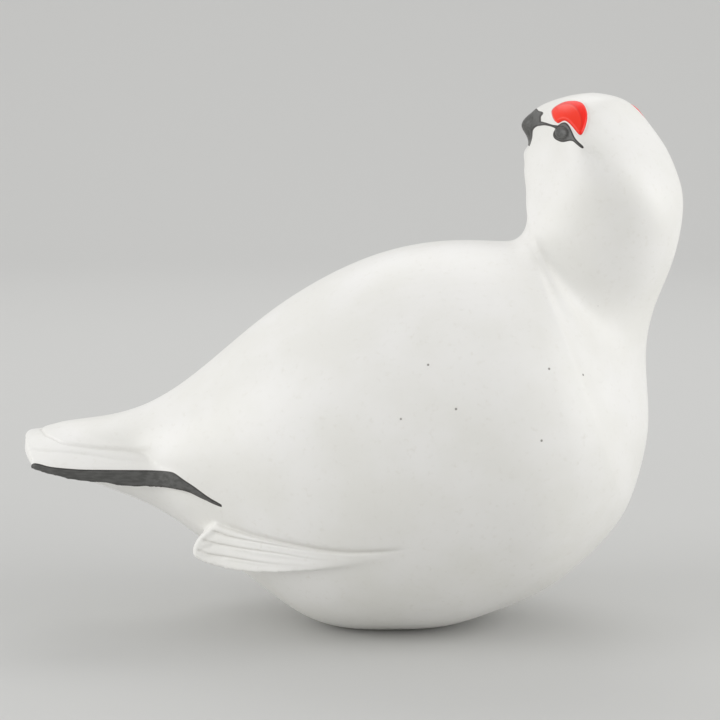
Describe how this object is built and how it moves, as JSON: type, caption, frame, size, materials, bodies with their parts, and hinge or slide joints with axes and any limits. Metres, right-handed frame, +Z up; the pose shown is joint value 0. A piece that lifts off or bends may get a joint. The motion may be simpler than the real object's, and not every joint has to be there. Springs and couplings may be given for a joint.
{
  "type": "ceramic bird figurine",
  "caption": "Slip-cast matte white stoneware ptarmigan looking back over its shoulder, with red eye combs, dark beak, eyes and tail edges, on a flat foot.",
  "frame": {"origin": "middle of the flat foot under the belly, on the surface that the figurine stands on", "axes": "+X the way the breast faces, with the tail towards -X; +Y the bird's left; +Z up"},
  "size_m": [0.238, 0.124, 0.1935],
  "materials": {
    "white_glaze": "matte"
  },
  "bodies": {
    "root": {"grouse_figure": "white_glaze"}
  },
  "joints": []
}
